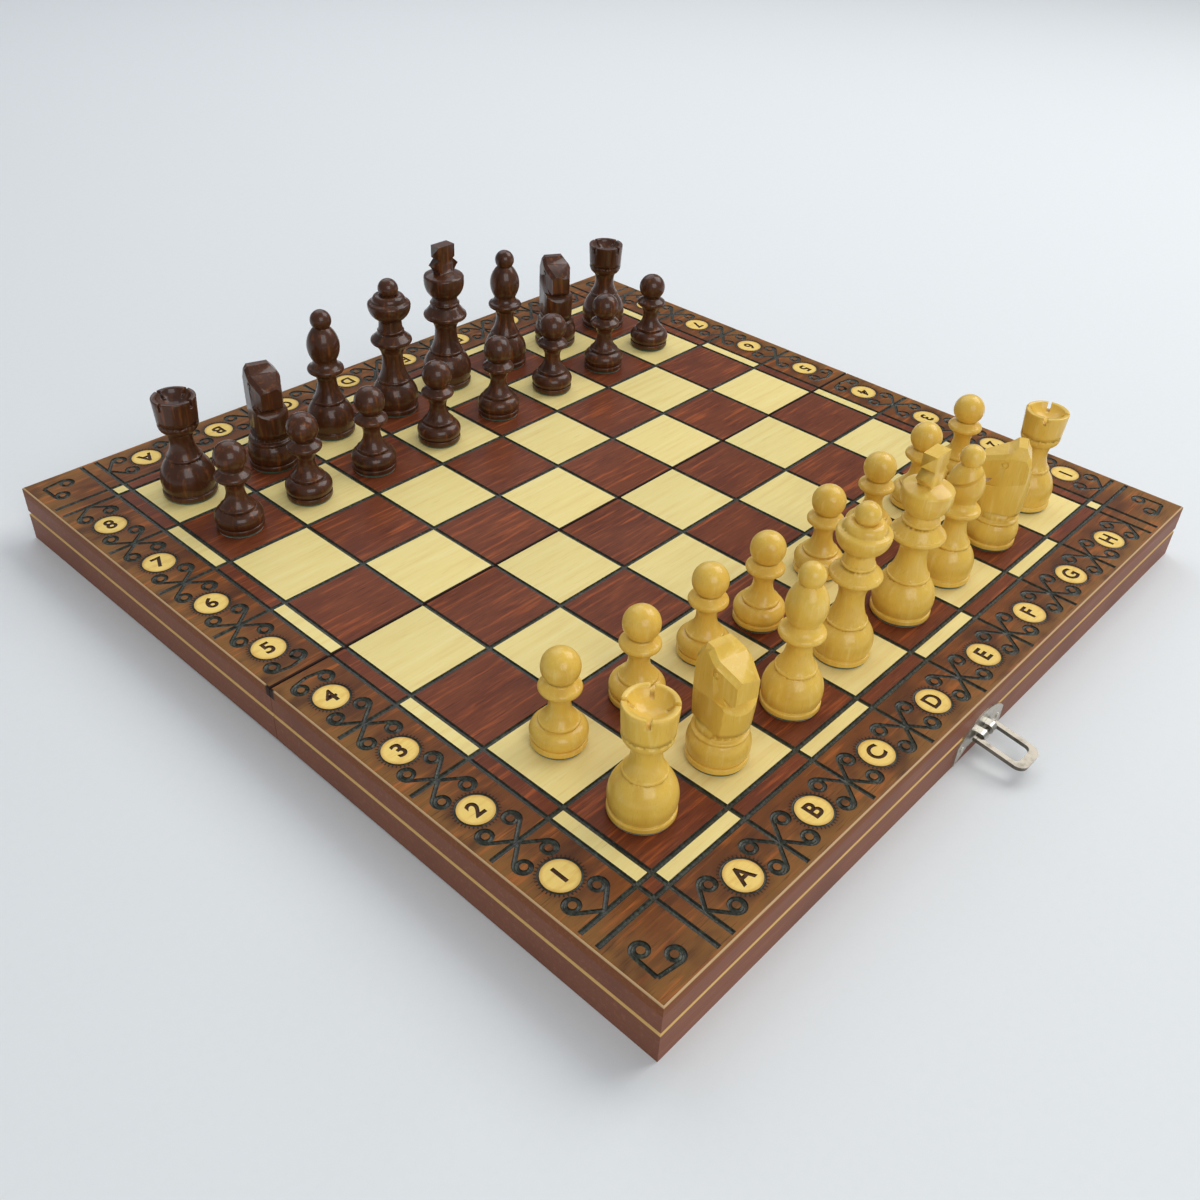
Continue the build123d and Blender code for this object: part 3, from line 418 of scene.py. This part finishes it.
def grooved_panel(name, side):
    """The panel of one half, with its grooves; side is -1 for the near half and 1 for the far half."""
    start_clean()
    depth = HALF - FOLD_FACE
    middle = Vector((0, side * (HALF + FOLD_FACE) / 2, (TOP + PANEL_BOTTOM) / 2)) * MM
    bpy.ops.mesh.primitive_cube_add(size=1, location=middle)
    panel = bpy.context.object
    panel.name = name
    panel.scale = Vector((2 * HALF, depth, TOP - PANEL_BOTTOM)) * MM
    bpy.ops.object.transform_apply(location=True, rotation=True, scale=True)
    on_top = (TOP - NEAR) * MM
    pick(panel, "EDGE", lambda edge: all(vertex.co.z > on_top for vertex in edge.verts))
    bpy.ops.mesh.bevel(offset=ARRIS * MM, segments=3, affect="EDGES")
    ranks = [side * line for line in RANK_LINES]
    for axis, lines in ((0, FILE_LINES), (1, ranks)):
        cuts = [line + step for line in lines for step in (-LINE_WIDTH / 2, -BED_WIDTH / 2)]
        cuts += [line + step for line in lines for step in (BED_WIDTH / 2, LINE_WIDTH / 2)]
        bisect_at(axis, cuts)
    ends = (GROOVE_END, GROOVE_END - END_RAMP)
    bisect_at(0, [sign * end for sign in (-1, 1) for end in ends])
    bisect_at(1, [side * end for end in ends])

    def in_bed(vertex):
        x, y, z = vertex.co / MM
        inside = max(abs(x), abs(y)) < GROOVE_END - END_RAMP + NEAR and z > TOP - ARRIS - NEAR
        reach = BED_WIDTH / 2 + NEAR
        return inside and (near_line(x, FILE_LINES, reach) or near_line(y, ranks, reach))

    beds = pick(panel, "VERT", in_bed)
    bpy.ops.transform.resize(value=(1, 1, 0), center_override=(0, 0, (TOP - LINE_DEPTH) * MM))
    bpy.ops.object.mode_set(mode="OBJECT")
    for finish in FACE_FINISHES:
        panel.data.materials.append(finish)
    print(name, "faces", len(panel.data.polygons), "bed vertices", beds)
    return panel


panels = {"near_face": grooved_panel("near_face", -1), "far_face": grooved_panel("far_face", 1)}

# %% [markdown]
# ## Scrolls, rings, letters and numbers
# A hot tool also drew the ornament: pairs of strokes that spring from every line of the border and
# curl round beside a ringed disc, and a double scroll in each corner. A stroke is a straight run onto a
# circle, then a turn inwards to a small closed eye. Strokes and eyes become round tubes that are cut
# half-way into the face with a boolean, so that they are true grooves with the char in them.

# %% Strokes of the scrolls
CELL_LEVEL = 4.545 * SQUARE
STROKE_RADIUS = 0.8
LOOP_RADIUS = 0.084 * SQUARE
EYE_RADIUS = 0.058 * SQUARE
LOOP_ALONG, LOOP_ACROSS = 0.272 * SQUARE, 0.142 * SQUARE
APEX_ALONG = 0.485 * SQUARE
FOLD_PULL = 0.1 * SQUARE
LOOP_TURN = radians(230)
LOOP_STEPS = 14
CORNER_SCROLL = ((4.72, 4.68), (4.625, 4.43), (4.47, 4.635))


def hooked_stroke(foot, centre, turning):
    """Points of a stroke from its foot onto a loop and inwards to its eye.

    Turning is 1 for a loop that runs to the left, and -1 for one that runs to the right.
    """
    toward = foot - centre
    swing = turning * atan2((toward.length ** 2 - LOOP_RADIUS ** 2) ** 0.5, LOOP_RADIUS)
    first = atan2(toward.y, toward.x) + swing
    points = [foot]
    for step in range(LOOP_STEPS + 1):
        share = step / LOOP_STEPS
        radius = LOOP_RADIUS + (EYE_RADIUS - LOOP_RADIUS) * share
        angle = first + turning * LOOP_TURN * share
        points.append(centre + radius * Vector((cos(angle), sin(angle))))
    return points


def cell_frames(side):
    """Places of one half's border cells: (middle, way along the edge, way across, label)."""
    x_way, y_way = Vector((1, 0)), Vector((0, 1))
    cells = []
    for i in range(8):
        middle = Vector(((i - 3.5) * SQUARE, side * CELL_LEVEL))
        cells.append((middle, x_way, y_way, "ABCDEFGH"[i]))
    for row in range(4):
        rank = 4 + row if side > 0 else row
        for edge in (-1, 1):
            middle = Vector((edge * CELL_LEVEL, (rank - 3.5) * SQUARE))
            cells.append((middle, y_way, x_way, str(rank + 1)))
    return cells


def strokes_of_half(side):
    """Strokes of one half, as (foot, middle of its loop, turning).

    They come in four groups, so that no two strokes of a group cross.
    """
    groups = {(end, wing): [] for end in (-1, 1) for wing in (-1, 1)}
    for middle, along, across, _ in cell_frames(side):
        for (end, wing), strokes in groups.items():
            foot_along = end * APEX_ALONG
            foot = middle + along * foot_along
            if abs(foot.y) < SQUARE / 4:
                foot = middle + along * (foot_along - end * FOLD_PULL)
            centre = middle + along * (end * LOOP_ALONG) + across * (wing * LOOP_ACROSS)
            handed = 1 if along.x > 0 else -1
            strokes.append((foot, centre, handed * end * wing))
    for edge in (-1, 1):
        mirrored = Vector((edge, side))
        foot, upper, lower = [Vector(place) * mirrored * SQUARE for place in CORNER_SCROLL]
        groups[(edge, 1)].append((foot, upper, -edge * side))
        groups[(edge, -1)].append((foot, lower, edge * side))
    return list(groups.values())


print("strokes in one half", sum(len(group) for group in strokes_of_half(-1)))

# %% [markdown]
# Every cutter is a closed mesh in the charred finish, and the boolean hands that finish on to the
# grooves it cuts. The cutters of a half go into one collection, as strokes of different groups may
# cross, which the exact solver allows between objects. The letters are thickened only as far as their
# outlines don't run into themselves, because such a cutter isn't closed and leaves a hole.

# %% Cutters for the ornament
RING_RADIUS = 6.35
RING_THICKNESS = 0.45
GLYPH_SIZE = 8.4
GLYPH_DEPTH = 0.3
GLYPH_WEIGHT = 0.26
CUT_LEVEL = TOP + 0.12


def as_cutter(piece, cutters):
    """Makes a curve or text a closed mesh in the charred finish and puts it among the cutters."""
    only(piece)
    bpy.ops.object.convert(target="MESH")
    piece = bpy.context.object
    piece.data.materials.clear()
    piece.data.materials.append(FACE_FINISHES[BURNT])
    bpy.ops.object.transform_apply(location=True, rotation=True, scale=True)
    bpy.ops.object.mode_set(mode="EDIT")
    bpy.ops.mesh.select_all(action="SELECT")
    bpy.ops.mesh.remove_doubles(threshold=NEAR * MM)
    bpy.ops.mesh.normals_make_consistent(inside=False)
    bpy.ops.object.mode_set(mode="OBJECT")
    cutters.objects.link(piece)
    return piece


def stroke_tubes(strokes, cutters):
    """One cutter of round tubes along the strokes."""
    curve = bpy.data.curves.new("strokes", "CURVE")
    curve.dimensions = "3D"
    curve.bevel_depth = STROKE_RADIUS * MM
    curve.bevel_resolution = 2
    curve.use_fill_caps = True
    for foot, centre, turning in strokes:
        points = hooked_stroke(foot, centre, turning)
        spline = curve.splines.new("POLY")
        spline.points.add(len(points) - 1)
        for place, point in zip(spline.points, points):
            place.co = (point.x * MM, point.y * MM, CUT_LEVEL * MM, 1)
    tubes = bpy.data.objects.new("strokes", curve)
    bpy.context.scene.collection.objects.link(tubes)
    return as_cutter(tubes, cutters)


def burnt_rings(middles, radius, thickness, segments, cutters):
    """One cutter of equal rings around the middles, such as all the discs of a half, or all its loops."""
    rings = []
    for middle in middles:
        start_clean()
        bpy.ops.mesh.primitive_torus_add(
            location=Vector((middle.x, middle.y, CUT_LEVEL)) * MM,
            major_segments=segments, minor_segments=8,
            major_radius=radius * MM, minor_radius=thickness * MM,
        )
        rings.append(bpy.context.object)
    for ring in rings:
        ring.select_set(True)
    bpy.ops.object.join()
    return as_cutter(bpy.context.object, cutters)


def glyph(label, middle, turned, cutters):
    """One cutter of a letter or number, upright as seen from its own side of the board."""
    start_clean()
    bpy.ops.object.text_add(rotation=(0, 0, pi if turned else 0))
    text = bpy.context.object
    text.data.body = label
    text.data.size = GLYPH_SIZE * MM
    text.data.align_x = "CENTER"
    text.data.align_y = "CENTER"
    text.data.extrude = GLYPH_DEPTH * MM
    text.data.offset = GLYPH_WEIGHT * MM
    text.location = Vector((middle.x, middle.y, TOP)) * MM
    return as_cutter(text, cutters)


def cut_ornament(panel, side):
    """Cuts strokes, rings and glyphs into one half of the face."""
    cutters = bpy.data.collections.new("cutters")
    for strokes in strokes_of_half(side):
        stroke_tubes(strokes, cutters)
        burnt_rings([centre for _, centre, _ in strokes], EYE_RADIUS, STROKE_RADIUS, 24, cutters)
    discs = [middle for middle, _, _, _ in cell_frames(side)]
    burnt_rings(discs, RING_RADIUS, RING_THICKNESS, 48, cutters)
    for middle, along, _, label in cell_frames(side):
        turned = middle.y > 0 if along.x > 0 else middle.x > 0
        glyph(label, middle, turned, cutters)
    only(panel)
    boolean = panel.modifiers.new("ornament", "BOOLEAN")
    boolean.operand_type = "COLLECTION"
    boolean.collection = cutters
    boolean.solver = "EXACT"
    boolean.material_mode = "TRANSFER"
    bpy.ops.object.modifier_apply(modifier=boolean.name)
    for cutter in list(cutters.objects):
        bpy.data.objects.remove(cutter)
    bpy.data.collections.remove(cutters)
    print(panel.name, "faces after the ornament", len(panel.data.polygons))


for side, panel in ((-1, panels["near_face"]), (1, panels["far_face"])):
    cut_ornament(panel, side)

# %% [markdown]
# Each face of the mesh now lies within one square, strip, disc or groove, so its finish follows from
# its place: the parity of its file and rank says pale or stained, and the strips carry the pattern on,
# as if there were a ninth square beyond the eighth.

# %% A finish for every face of the panels
def square_index(value):
    """Number of a square or strip along one side, from -5 for the first strip to 4 for the last."""
    return int(max(-5, min(4, value // SQUARE)))


def finish_of(face):
    """Which finish a face of the panel takes, from its place and normal."""
    x, y, z = face.center / MM
    if face.normal.z < 0.999 or z < TOP - NEAR:
        outside = max(abs(x), abs(y)) > HALF - ARRIS - 0.02 or abs(y) < FOLD_FACE + ARRIS + 0.02
        return EDGE if outside or z < TOP - LINE_DEPTH - 0.3 else BURNT
    rim = FIELD + STRIP
    if max(abs(x), abs(y)) > rim:
        return BORDER
    return PALE if (square_index(x) + square_index(y)) % 2 else STAINED


def finish_panel(panel, side):
    """Gives every face its finish, and the border its places as seen from the nearest disc, in mm."""
    discs = [middle for middle, _, _, _ in cell_frames(side)]
    cell_map = panel.data.uv_layers.new(name=CELL_MAP)
    corners = panel.data.vertices
    for face in panel.data.polygons:
        face.material_index = finish_of(face)
        if face.material_index not in (BORDER, BURNT):
            continue
        spots = [corners[vertex].co.xy / MM for vertex in face.vertices]
        heart = sum(spots, Vector((0, 0))) / len(spots)
        disc = min(discs, key=lambda middle: (middle - heart).length)
        if all((spot - disc).length < RING_RADIUS - RING_THICKNESS / 2 for spot in spots):
            face.material_index = DISC if face.material_index == BORDER else LETTER
        for loop, spot in zip(face.loop_indices, spots):
            cell_map.data[loop].uv = spot - disc
    only(panel)
    bpy.ops.object.shade_smooth_by_angle(angle=radians(30))
    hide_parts("near_panel" if side < 0 else "far_panel")
    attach(panel, "near_half" if side < 0 else "far_half")
    print(panel.name, "triangles", triangles(panel))


finish_panel(panels["near_face"], -1)
finish_panel(panels["far_face"], 1)

# %% [markdown]
# ## The trays
# The walls are solid wood in a purple-brown stain, with one V line cut along them after staining, so
# that the line is pale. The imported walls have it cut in. They stay as they are, and the finish only has
# to know the line's level.

# %% Walls
LINE_LEVEL = 12.2
LINE_HALF = 0.8


def wall_stain():
    """Purple-brown stain on the walls, with long grain and the pale line."""
    material = new_material("purple_brown_stained_walls")
    broad = streaks(material, 0, 35, 1.6)
    fine = streaks(material, 0, 9, 0.4, detail=2.0)
    cloud = streaks(material, 2, 30, 30, detail=1.0)
    place = add_node(material, "ShaderNodeTexCoord")
    split = add_node(material, "ShaderNodeSeparateXYZ", {0: place.outputs["Object"]})
    level = {0: split.outputs[2], 1: LINE_LEVEL * MM}
    away = add_node(material, "ShaderNodeMath", level, operation="SUBTRACT")
    away = add_node(material, "ShaderNodeMath", {0: away.outputs[0]}, operation="ABSOLUTE")
    layers = [(broad, 0.48, 0.78, 0.6, "#A06A50"), (cloud, 0.45, 0.7, 0.4, "#6C4034")]
    layers += [(fine, 0.55, 0.8, 0.45, "#5A362C")]
    layers += [(away.outputs[0], (LINE_HALF + 0.1) * MM, (LINE_HALF - 0.1) * MM, 1.0, "#DDB877")]
    colour = in_layers(material, "#87543F", layers)
    return dress(material, colour, fine, 0.03, LACQUER)


def give(nodes, finish):
    """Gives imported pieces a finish, without touching their shape."""
    for name in nodes:
        slots = frame["nodes"][name].data.materials
        slots.clear()
        slots.append(finish)


walls = [name for name in frame["nodes"] if name.endswith("_wall")]
give(walls, wall_stain())
print("walls", len(walls))

# %% [markdown]
# ## Metal and felt
# The latch and the catch are thin pressed steel, nickel-plated and a little dull. The bail was polished
# before plating, and its nickel is painted darker: painted shade for the dark reflections on its face.
# The hinges are brass. The sheet under the face is bright steel, with green felt glued beneath it,
# and discs of the same felt sit under the men.

# %% Finishes of metal and felt
def metal(name, ground, worn, roughness, mottle):
    """A metal with the faint mottling and dulling of handling; mottle is the size of the spots in mm."""
    material = new_material(name)
    spots = streaks(material, 2, mottle, mottle, detail=4.0)
    colour = in_layers(material, ground, [(spots, 0.45, 0.75, 0.6, worn)])
    return dress(material, colour, spots, 0.02, {"Metallic": 1.0, "Roughness": roughness})


def felt():
    """Pressed green wool felt: matt, with a nap of fibres half a millimetre long."""
    material = new_material("green_wool_felt")
    nap = streaks(material, 0, 0.9, 0.3, detail=5.0)
    layers = [(nap, 0.4, 0.7, 0.7, "#2E4A35"), (nap, 0.5, 0.3, 0.5, "#54735A")]
    colour = in_layers(material, "#3D5C45", layers)
    values = {"Roughness": 0.95, "Sheen Weight": 0.5, "Sheen Roughness": 0.5}
    return dress(material, colour, nap, 0.2, values)


dull_nickel = metal("dull_nickel_plating", "#CFCBC0", "#9C968A", 0.35, 2.0)
# The same nickel as the latch, painted darker for the bail: painted shade standing in for the dark
# reflections on it.
bail_nickel_in_painted_shade = metal("bail_nickel_plating_painted_darker", "#7A746A", "#3C3831", 0.2, 4.0)
brass = metal("rolled_brass", "#B99A55", "#8A6E3A", 0.38, 3.0)
bright_steel = metal("bright_steel_sheet", "#A9ADB0", "#8B8F93", 0.35, 6.0)
green_felt = felt()
hinges = [name for name in frame["nodes"] if "hinge" in name]
latch = [name for name in frame["nodes"] if name.startswith(("latch_", "catch_"))]
give(hinges, brass)
give(latch, dull_nickel)
give(["latch_bail"], bail_nickel_in_painted_shade)
give(["near_steel_sheet", "far_steel_sheet"], bright_steel)
give(["near_felt_lining", "far_felt_lining"], green_felt)
print("hinge pieces", len(hinges), "latch pieces", len(latch))

# %% [markdown]
# ## The men
# The men are turned from boxwood, sixteen left yellow and sixteen stained dark, and lacquered after
# turning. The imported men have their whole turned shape, as loose triangles. A copy of each is welded
# and shaded smooth, and the felt under its foot is told from the wood by its place. The magnet is
# closed in and never seen. The knights are carved, so their edges stay crisp at a smaller angle.

# %% Finishes of the men
def turned_wood(name, ground, tints, gloss):
    """Turned wood with upright grain; pale, dark and deep tints follow broad, fine and clouded grain."""
    material = new_material(name)
    broad = streaks(material, 2, 22, 1.8)
    fine = streaks(material, 2, 7, 0.35, detail=2.0)
    cloud = streaks(material, 2, 18, 7, detail=1.0)
    pale, dark, deep = tints
    layers = [(broad, 0.5, 0.78, 0.6, pale), (cloud, 0.48, 0.75, 0.6, deep)]
    layers += [(fine, 0.55, 0.8, 0.5, dark)]
    colour = in_layers(material, ground, layers)
    return dress(material, colour, fine, 0.02, gloss)


MEN_LACQUER = {"Roughness": 0.4, "Specular IOR Level": 0.2, "Coat Weight": 0.5, "Coat Roughness": 0.12}
boxwood = turned_wood("lacquered_boxwood", "#ECC254", ("#F6D980", "#CE9A38", "#DCAC40"), MEN_LACQUER)
dark_wood = turned_wood("dark_stained_boxwood", "#4C2A16", ("#955323", "#26150B", "#311A0E"), MEN_LACQUER)
SEAT_GAP = 0.05
FELT_THICKNESS = 0.8
FELT_TOP = TOP + SEAT_GAP + FELT_THICKNESS
TURNED_ANGLE = radians(38)
CARVED_ANGLE = radians(18)


def dress_man(node):
    """A welded, smooth copy of a packed man, in wood, with felt under its foot."""
    start_clean()
    source = frame["nodes"][node]
    man = source.copy()
    man.data = source.data.copy()
    man.name = node + "_turned"
    for key in list(man.keys()):
        del man[key]
    man.parent = None
    bpy.context.scene.collection.objects.link(man)
    only(man)
    bpy.ops.object.mode_set(mode="EDIT")
    bpy.ops.mesh.select_all(action="SELECT")
    bpy.ops.mesh.remove_doubles(threshold=0.002 * MM)
    bpy.ops.object.mode_set(mode="OBJECT")
    wood = boxwood if node.startswith("white") else dark_wood
    man.data.materials.clear()
    man.data.materials.append(wood)
    man.data.materials.append(green_felt)
    for face in man.data.polygons:
        face.material_index = 1 if face.center.z < (FELT_TOP + NEAR) * MM else 0
    bpy.ops.object.shade_smooth_by_angle(angle=CARVED_ANGLE if "knight" in node else TURNED_ANGLE)
    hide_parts(node)
    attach(man, node)
    return man


men = [dress_man(name) for name in frame["nodes"] if name.startswith(("white_", "black_"))]
print("men", len(men), "triangles", sum(triangles(man) for man in men))

# %% [markdown]
# ## Floor and light
# The set stands on a plain pale floor in the soft light of a big window-like panel high on the right,
# with a weaker one behind it and a third to fill the shadows from the front left.

# %% Floor and lights
FLOOR_SIZE = 6.0


def floor():
    """A plain pale floor, so wide that no horizon shows."""
    start_clean()
    bpy.ops.mesh.primitive_plane_add(size=FLOOR_SIZE)
    plane = bpy.context.object
    plane.name = "studio_floor"
    material = new_material("pale_studio_paper")
    speckle = streaks(material, 2, 3, 3, detail=3.0)
    colour = in_layers(material, "#E8EAEA", [(speckle, 0.4, 0.8, 0.3, "#E3E6E6")])
    dress(material, colour, speckle, 0.02, {"Roughness": 0.7})
    plane.data.materials.append(material)


def soft_light(name, place, target, size, power, tint):
    """A square soft light at a place, facing a target."""
    data = bpy.data.lights.new(name, "AREA")
    data.shape = "SQUARE"
    data.size = size
    data.energy = power
    data.color = linear(tint)[:3]
    light = bpy.data.objects.new(name, data)
    bpy.context.scene.collection.objects.link(light)
    way = Vector(target) - Vector(place)
    turn = way.to_track_quat("-Z", "Y").to_matrix().to_4x4()
    light.matrix_world = Matrix.Translation(place) @ turn


floor()
soft_light("window", (1.15, -0.3, 1.35), (0, 0, 0), 1.2, 16, "#FFFFFF")
soft_light("skylight", (0.5, 1.0, 1.3), (0, 0, 0), 1.4, 8.5, "#F4F8FF")
soft_light("fill", (-0.75, -1.4, 1.05), (0, 0, 0), 1.2, 13, "#FFFFFF")
world = bpy.data.worlds.new("studio")
world.use_nodes = True
world.node_tree.nodes["Background"].inputs["Color"].default_value = linear("#DDE6EE")
world.node_tree.nodes["Background"].inputs["Strength"].default_value = 0.35
bpy.context.scene.world = world
bpy.context.scene.view_settings.view_transform = "Standard"
